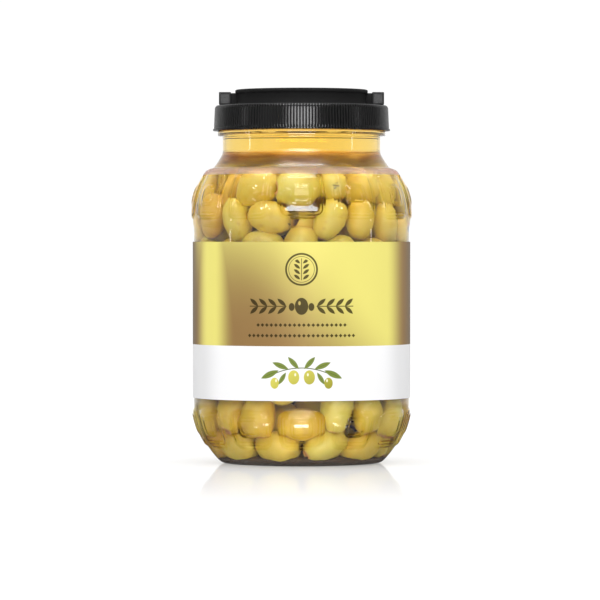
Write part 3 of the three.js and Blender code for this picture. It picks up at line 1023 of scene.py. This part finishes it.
# The heap's top and the jar's floor, as levels from the middle to the wall
HEAP_TOP_RADII = [34, 52]
HEAP_TOP_LEVELS = [191, 188.5]
FLOOR_RADII = [0, 22, 37, 45.4, 47.6]
FLOOR_LEVELS = [8.0, 7.8, 6.6, 4.2, 3.8]
# An olive stands for three balls on its axis while the heap settles, and a listed one hardly moves
BALL_OFFSETS = [-6.0, 0.0, 6.0]
BALL_RADII = [8.0, 9.9, 8.0]
SETTLE_ROUNDS = 80
SETTLE_SHARE = 0.2
SETTLE_REACH = 2
HELD_WEIGHT = 0.12


def draw(seed):
    """A repeatable draw between -1 and 1."""
    value = math.sin(seed * 12.9898 + 4.1414) * 43758.5453
    return 2 * (value - math.floor(value)) - 1


def inner_radius(z):
    """The radius of the inner wall between the panels, at a height."""
    levels = [0, 6, 11.1, 24, 36, 41.5, 153.6, 164, 178, 190.6, 192, 202.6, 232]
    radii = [50, 55, *[lower_wall(z) - WALL for z in (11.1, 24, 36)], 69.2, 69.2,
             *[upper_wall(z) - WALL for z in (164, 178, 190.6)], 57.6, 50.4, 50.4]
    return float(np.interp(z, levels, radii))


def ring_rest(row, seed):
    """The rest of a ring, evenly spaced from the last listed olive round the back to the first."""
    first, last = row[0][0] + 360, row[-1][0]
    level = sum(olive[1] for olive in row) / len(row)
    gaps = round(math.radians(first - last) * (inner_radius(level) - OLIVE_RADIUS) / RING_PITCH)
    return [
        [
            last + (i + 1) * (first - last) / gaps,
            level + HEIGHT_JITTER * draw(seed + i),
            LEAN_JITTER * draw(seed + i + 0.3) + 90 * (draw(seed + i + 0.9) > 0.35),
            30 * draw(seed + i + 0.6),
        ]
        for i in range(gaps - 1)
    ]


def olive_turn(angle, lean, inward):
    return (
        Matrix.Rotation(math.radians(angle), 4, "Z")
        @ Matrix.Rotation(math.radians(lean), 4, "Y")
        @ Matrix.Rotation(math.radians(inward), 4, "X")
    )


def olive_form(name, sides, rings, girth, taper, lump_seed):
    """One olive along Z: a punched hole at its low end, a dimple at its top, lumps and a slight taper."""
    deselect_all()
    bpy.ops.mesh.primitive_uv_sphere_add(segments=sides, ring_count=rings, radius=1)
    olive = added(name)
    edit(olive)
    hole_cap = math.cos(math.pi * 2.4 / rings)
    select_faces(olive, lambda centre, _: centre.z < -hole_cap)
    bpy.ops.transform.resize(value=(0.9, 0.9, 1), center_override=(0, 0, -1))
    bpy.ops.mesh.inset(thickness=0.05, depth=-0.03)
    bpy.ops.mesh.extrude_region_move(TRANSFORM_OT_translate={"value": (0, 0, 0.22)})
    bpy.ops.transform.resize(value=(0.9, 0.9, 0.4), center_override=(0, 0, -0.7))
    bpy.ops.mesh.extrude_region_move(TRANSFORM_OT_translate={"value": (0, 0, 0.4)})
    bpy.ops.transform.resize(value=(0.7, 0.7, 0.4), center_override=(0, 0, -0.3))
    select_faces(olive, lambda centre, _: centre.z > math.cos(math.pi * 1.2 / rings))
    bpy.ops.transform.translate(value=(0, 0, -0.03))
    leave_edit()
    mark_own_place(olive)
    olive.scale = (OLIVE_RADIUS * girth, OLIVE_RADIUS * girth, OLIVE_HALF_LENGTH)
    take(olive)
    bpy.ops.object.transform_apply()
    apply_modifier(olive, "SIMPLE_DEFORM", deform_method="TAPER", factor=taper, deform_axis="Z")
    lumps = bpy.data.textures.new("olive lumps", "CLOUDS")
    lumps.noise_scale = 9
    olive.location = (lump_seed * 31, lump_seed * 17, lump_seed * 23)
    bpy.context.view_layer.update()
    apply_modifier(
        olive, "DISPLACE", texture=lumps, texture_coords="GLOBAL", strength=2.2, mid_level=0.5,
    )
    olive.location = (0, 0, 0)
    return olive


def mark_own_place(olive):
    """Keeps each point's place on the olive, before it is stretched, for the material to read."""
    places = [axis for vertex in olive.data.vertices for axis in vertex.co]
    own_place = olive.data.attributes.new("own_place", "FLOAT_VECTOR", "POINT")
    own_place.data.foreach_set("vector", places)
    olive.data.attributes.new("tone", "FLOAT", "POINT")


WALL_LEVELS = [z * 2 for z in range(116)]
WALL_RADII = [inner_radius(z) for z in WALL_LEVELS]


def wall_limit(z, radius):
    """How far from the axis a ball of a radius may stand at a height, clear of the curved wall."""
    slopes = np.radians(np.arange(-80, 81, 10))
    return np.min([
        np.interp(z + radius * math.sin(slope), WALL_LEVELS, WALL_RADII) - radius * math.cos(slope)
        for slope in slopes
    ], axis=0) - WALL_CLEARANCE


def settle(spots):
    """Pushes the olives apart and off the wall, as balls on each one's axis, until they hardly overlap."""
    count = len(spots)
    centres = np.array([spot["centre"] for spot in spots], float)
    axes = np.array([spot["axis"] for spot in spots], float)
    weight = np.array([HELD_WEIGHT if spot["held"] else 1.0 for spot in spots])
    radii = np.tile(BALL_RADII, count)
    owner = np.repeat(np.arange(count), len(BALL_RADII))
    apart = owner[:, None] != owner[None, :]

    def balls():
        along = axes[:, None, :] * np.array(BALL_OFFSETS)[None, :, None]
        return (centres[:, None, :] + along).reshape(-1, 3)

    for _ in range(SETTLE_ROUNDS):
        gap = balls()[:, None, :] - balls()[None, :, :]
        distance = np.sqrt((gap ** 2).sum(-1)) + 1e-6
        overlap = np.where(apart, radii[:, None] + radii[None, :] - distance, 0).clip(0)
        push = (gap / distance[..., None] * overlap[..., None]).sum(1)
        step = SETTLE_SHARE * push.reshape(count, -1, 3).sum(1) * weight[:, None]
        centres += np.clip(step, -SETTLE_REACH, SETTLE_REACH)
        now = balls()
        across = np.hypot(now[:, 0], now[:, 1]) + 1e-6
        past = (across - wall_limit(now[:, 2], radii)).clip(0)
        inward = -now[:, :2] / across[:, None] * past[:, None]
        worst = past.reshape(count, -1).argmax(1)
        centres[:, :2] += inward.reshape(count, -1, 2)[np.arange(count), worst]
        floor = np.interp(across, FLOOR_RADII, FLOOR_LEVELS) + radii + WALL_CLEARANCE
        centres[:, 2] += (floor - now[:, 2]).clip(0).reshape(count, -1).max(1)
        ceiling = np.interp(across, HEAP_TOP_RADII, HEAP_TOP_LEVELS)
        centres[:, 2] -= (now[:, 2] + radii - ceiling).clip(0).reshape(count, -1).max(1)
    return centres


def olive_spots():
    """Every olive: its angle and turn, its centre, and whether it was listed one by one."""
    spots = []
    for level, row in enumerate(WALL_ROWS):
        seed = 17 * (level + 1)
        for i, (angle, z, lean, inward) in enumerate([*row, *ring_rest(row, seed)]):
            turn = olive_turn(angle, lean, inward)
            axis = turn @ Vector((0, 0, 1))
            outward = on_circle(1, angle, 0)
            reach = abs(axis.dot(outward)) * 4
            spots.append({
                "centre": on_circle(inner_radius(z) - OLIVE_RADIUS - WALL_CLEARANCE - reach, angle, z),
                "axis": axis, "turn": turn, "held": i < len(row), "seed": seed + i, "wall": True,
            })
    for level, (radius, z) in enumerate(INNER_RINGS):
        count = round(2 * math.pi * radius / INNER_PITCH)
        for i in range(count):
            seed = 400 + 29 * level + i
            angle = 360 * i / count + 40 * draw(seed)
            turn = olive_turn(angle, 90 + 60 * draw(seed + 0.2), 50 * draw(seed + 0.4))
            spots.append({
                "centre": on_circle(radius, angle, z + 3 * draw(seed + 0.7)),
                "axis": turn @ Vector((0, 0, 1)), "turn": turn, "held": False, "seed": seed, "wall": False,
            })
    return spots


def olive_heap():
    wall_forms = [
        olive_form(f"olive_form_{number}", 24, 16, girth, taper, number + 1)
        for number, (girth, taper) in enumerate([(1.0, 0.1), (1.05, -0.15), (0.96, 0.2), (1.02, 0.0)])
    ]
    inner_forms = [olive_form("inner_olive_form", 14, 9, 1.0, 0.1, 7)]
    spots = olive_spots()
    centres = settle(spots)
    groups = {True: [], False: []}
    for spot, centre in zip(spots, centres):
        forms = wall_forms if spot["wall"] else inner_forms
        form = forms[int(abs(draw(spot["seed"] + 0.15)) * len(forms)) % len(forms)]
        olive = copied(form, "olive")
        size = 1 + SIZE_JITTER * draw(spot["seed"] + 0.5)
        tones = olive.data.attributes["tone"]
        tones.data.foreach_set("value", [0.46 + 0.38 * draw(spot["seed"] + 0.8)] * len(olive.data.vertices))
        roll = Matrix.Rotation(math.pi * draw(spot["seed"] + 0.35), 4, "Z")
        olive.matrix_world = Matrix.Translation(centre) @ spot["turn"] @ roll @ Matrix.Scale(size, 4)
        groups[spot["wall"]].append(olive)
    for form in wall_forms + inner_forms:
        bpy.data.objects.remove(form)
    flesh = olive_flesh()
    for wall, name in ((True, "olives_at_the_wall"), (False, "olives_inside")):
        heap = joined(name, groups[wall])
        heap = done(heap, "jar", flesh)
        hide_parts("olives")


# A filler for the heap's middle that runs out under the lowest olives to the foot, coloured as painted shade
def heap_core():
    profile = [
        (0, 7), (38, 6.8), (44, 3.6), (50.4, 2.6), (52.6, 4), (53, 5.4), (50, 7.6), (42, 11), (34, 15),
        (31, 20), (31, 38), (58, 66), (62, 70), (62, 124), (58, 130), (30, 150), (28, 168), (0, 170),
    ]
    core = lathe("heap_core", profile, 48)
    leave_edit()
    apply_modifier(core, "SUBSURF", levels=2, render_levels=2)
    core = done(core, "jar", heap_core_painted_shade())
    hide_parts("olives")


# Studio: lengths on the floor's material in millimetres, and lamps in metres
FLOOR_SIZE = 60
FLOOR_GAP = 0.0003
FLOOR_INDEX = 1.45
FLOOR_COLOUR = (0.74, 0.74, 0.74, 1)
FLOOR_GLOW = 0.38
FLOOR_BEHIND = (100, 900)
MIRROR_NEAR = 60
MIRROR_FAR = 620
MIRROR_SHARE = 0.5
MIRROR_ROUGHNESS = 0.05
BACKDROP_ON_FLOOR = 0.9
SURROUND = 1.03
FRONT_ON_MATT = 0.96
BACK_ON_MATT = 0.8
CEILING = 0.7
ROOM_THROUGH = 0.36
ROOM_IN_GLOSS = 0.07
# From where to where, along the direction from the front to the back or upwards, each of them brightens
ROOM_TO_BACKDROP = (-0.5, 0.1)
FRONT_TO_BACK_ON_MATT = (-0.2, 0.7)
BACKDROP_IN_GLOSS = (0.3, 0.9)
CEILING_IN_GLOSS = (0.7, 0.95)
# Each lamp as its name, azimuth from the front towards +X, elevation, distance, width, height, radiance,
# and whether it lights matt surfaces too or only shows in gloss
LAMPS = [
    ("key box", 0, 13, 3.4, 2.1, 1.06, 1.0, True),
    ("key glare", 0, 8.5, 3.3, 2.1, 0.5, 9.0, False),
    ("high key", 0, 38, 3.0, 2.0, 0.9, 1.9, True),
    ("top box", 0, 78, 1.7, 1.0, 0.5, 12.0, False),
    ("foot card", 0, -48.3, 0.154, 0.042, 0.004, 12.0, False),
    ("left card", -45, 12, 2.6, 1.2, 1.6, 0.27, False),
    ("right strip", 78, 10, 2.2, 0.06, 1.6, 5.0, False),
    ("left strip", -80, 10, 2.2, 0.08, 1.6, 4.0, False),
]
# Watts to a square metre of a lamp's face for each unit of its brightness
POWER_PER_RADIANCE = 4


def studio_floor():
    """A pale floor: white all over, with a faint mirror near the jar that low rays see best."""
    bpy.ops.mesh.primitive_plane_add(size=FLOOR_SIZE, location=(0, 0, -FLOOR_GAP))
    floor = added("studio_floor")
    finish = Finish("studio floor")
    x, y, _ = finish.parts(finish.place())
    away = finish.length(x, y)
    near = 1 - finish.rise(away, MIRROR_NEAR, MIRROR_FAR)
    grazing = finish.add("ShaderNodeFresnel", None, {"IOR": FLOOR_INDEX})
    matt = finish.add("ShaderNodeBsdfDiffuse", None, {"Color": FLOOR_COLOUR})
    glow = finish.add("ShaderNodeEmission", None, {"Color": WHITE, "Strength": FLOOR_GLOW})
    lit = finish.add("ShaderNodeAddShader", None, {0: matt, 1: glow})
    mirror = finish.add("ShaderNodeBsdfGlossy", None, {"Color": WHITE, "Roughness": MIRROR_ROUGHNESS})
    shown = finish.add("ShaderNodeMixShader", None, {0: near * grazing * MIRROR_SHARE, 1: lit, 2: mirror})
    in_gloss = finish.add("ShaderNodeLightPath", output="Is Glossy Ray")
    through = finish.add("ShaderNodeLightPath", output="Is Transmission Ray")
    behind = finish.rise(y, *FLOOR_BEHIND)
    brightness = ROOM_IN_GLOSS + behind * BACKDROP_ON_FLOOR
    dim = finish.add("ShaderNodeEmission", None, {"Color": WHITE, "Strength": brightness})
    surface = finish.add("ShaderNodeMixShader", None, {0: in_gloss * (1 - through), 1: shown, 2: dim})
    floor.data.materials.append(finish.output(surface))


def grey(level):
    return (level, level, level, 1)


def surround():
    """A white surround, in front of a dimmer room. Gloss sees a backdrop behind and a pale ceiling only."""
    world = bpy.data.worlds.new("white surround")
    bpy.context.scene.world = world
    finish = Finish("white surround", world)
    _, back, height = finish.parts(finish.add("ShaderNodeTexCoord", output="Generated"))
    ray = {
        kind: finish.add("ShaderNodeLightPath", output=f"Is {kind} Ray")
        for kind in ("Camera", "Diffuse", "Glossy", "Transmission")
    }
    through = finish.mix(finish.rise(back, *ROOM_TO_BACKDROP), grey(ROOM_THROUGH), grey(SURROUND))
    in_gloss = finish.most(
        finish.rise(back, *BACKDROP_IN_GLOSS) * SURROUND,
        finish.rise(height, *CEILING_IN_GLOSS) * CEILING,
    )
    seen = finish.mix(ray["Camera"], through, grey(SURROUND))
    on_matt = finish.mix(finish.rise(back, *FRONT_TO_BACK_ON_MATT), grey(FRONT_ON_MATT), grey(BACK_ON_MATT))
    lit = finish.mix(ray["Diffuse"], seen, on_matt)
    shown = finish.mix(ray["Glossy"] * (1 - ray["Transmission"]), lit, finish.most(in_gloss, ROOM_IN_GLOSS))
    background = finish.add("ShaderNodeBackground", None, {"Color": shown})
    finish.output(background, kind="ShaderNodeOutputWorld")


def lamp(name, azimuth, elevation, distance, width, height, brightness, lights_matt):
    """A rectangular lamp that faces the jar. Its power follows from how bright its face looks."""
    target = Vector((0, 0, 0.12))
    rise = math.radians(elevation)
    away = Vector(on_circle(math.cos(rise), azimuth, math.sin(rise)))
    bpy.ops.object.light_add(type="AREA", location=target + away * distance)
    light = bpy.context.object
    light.name = name
    light.rotation_euler = away.to_track_quat("Z", "Y").to_euler()
    light.data.shape = "RECTANGLE"
    light.data.size = width
    light.data.size_y = height
    light.data.energy = brightness * width * height * POWER_PER_RADIANCE
    light.visible_camera = False
    light.visible_diffuse = lights_matt


def camera():
    axis_x = -(AXIS_PIXEL - FRAME_PIXELS / 2) * PIXEL * MM
    aim_height = (FOOT_PIXEL - FRAME_PIXELS / 2) * PIXEL * MM
    location = Vector((axis_x, -CAMERA_DISTANCE, CAMERA_HEIGHT))
    aim = Vector((axis_x, 0, aim_height))
    bpy.ops.object.camera_add(location=location)
    view = bpy.context.object
    view.rotation_euler = (aim - location).to_track_quat("-Z", "Y").to_euler()
    view.data.lens = view.data.sensor_width * CAMERA_DISTANCE / (FRAME_PIXELS * PIXEL * MM)
    view.data.clip_end = 60
    bpy.context.scene.camera = view


camera()
studio_floor()
surround()
for lamp_facts in LAMPS:
    lamp(*lamp_facts)
cage = body_cage()
jar_wall(cage)
brine(cage)
bpy.data.objects.remove(cage)
lid_moulding()
folding_handle()
wrap_label()
heap_core()
olive_heap()

scene = bpy.context.scene
scene.view_settings.view_transform = "Standard"
deselect_all()
bpy.context.view_layer.update()
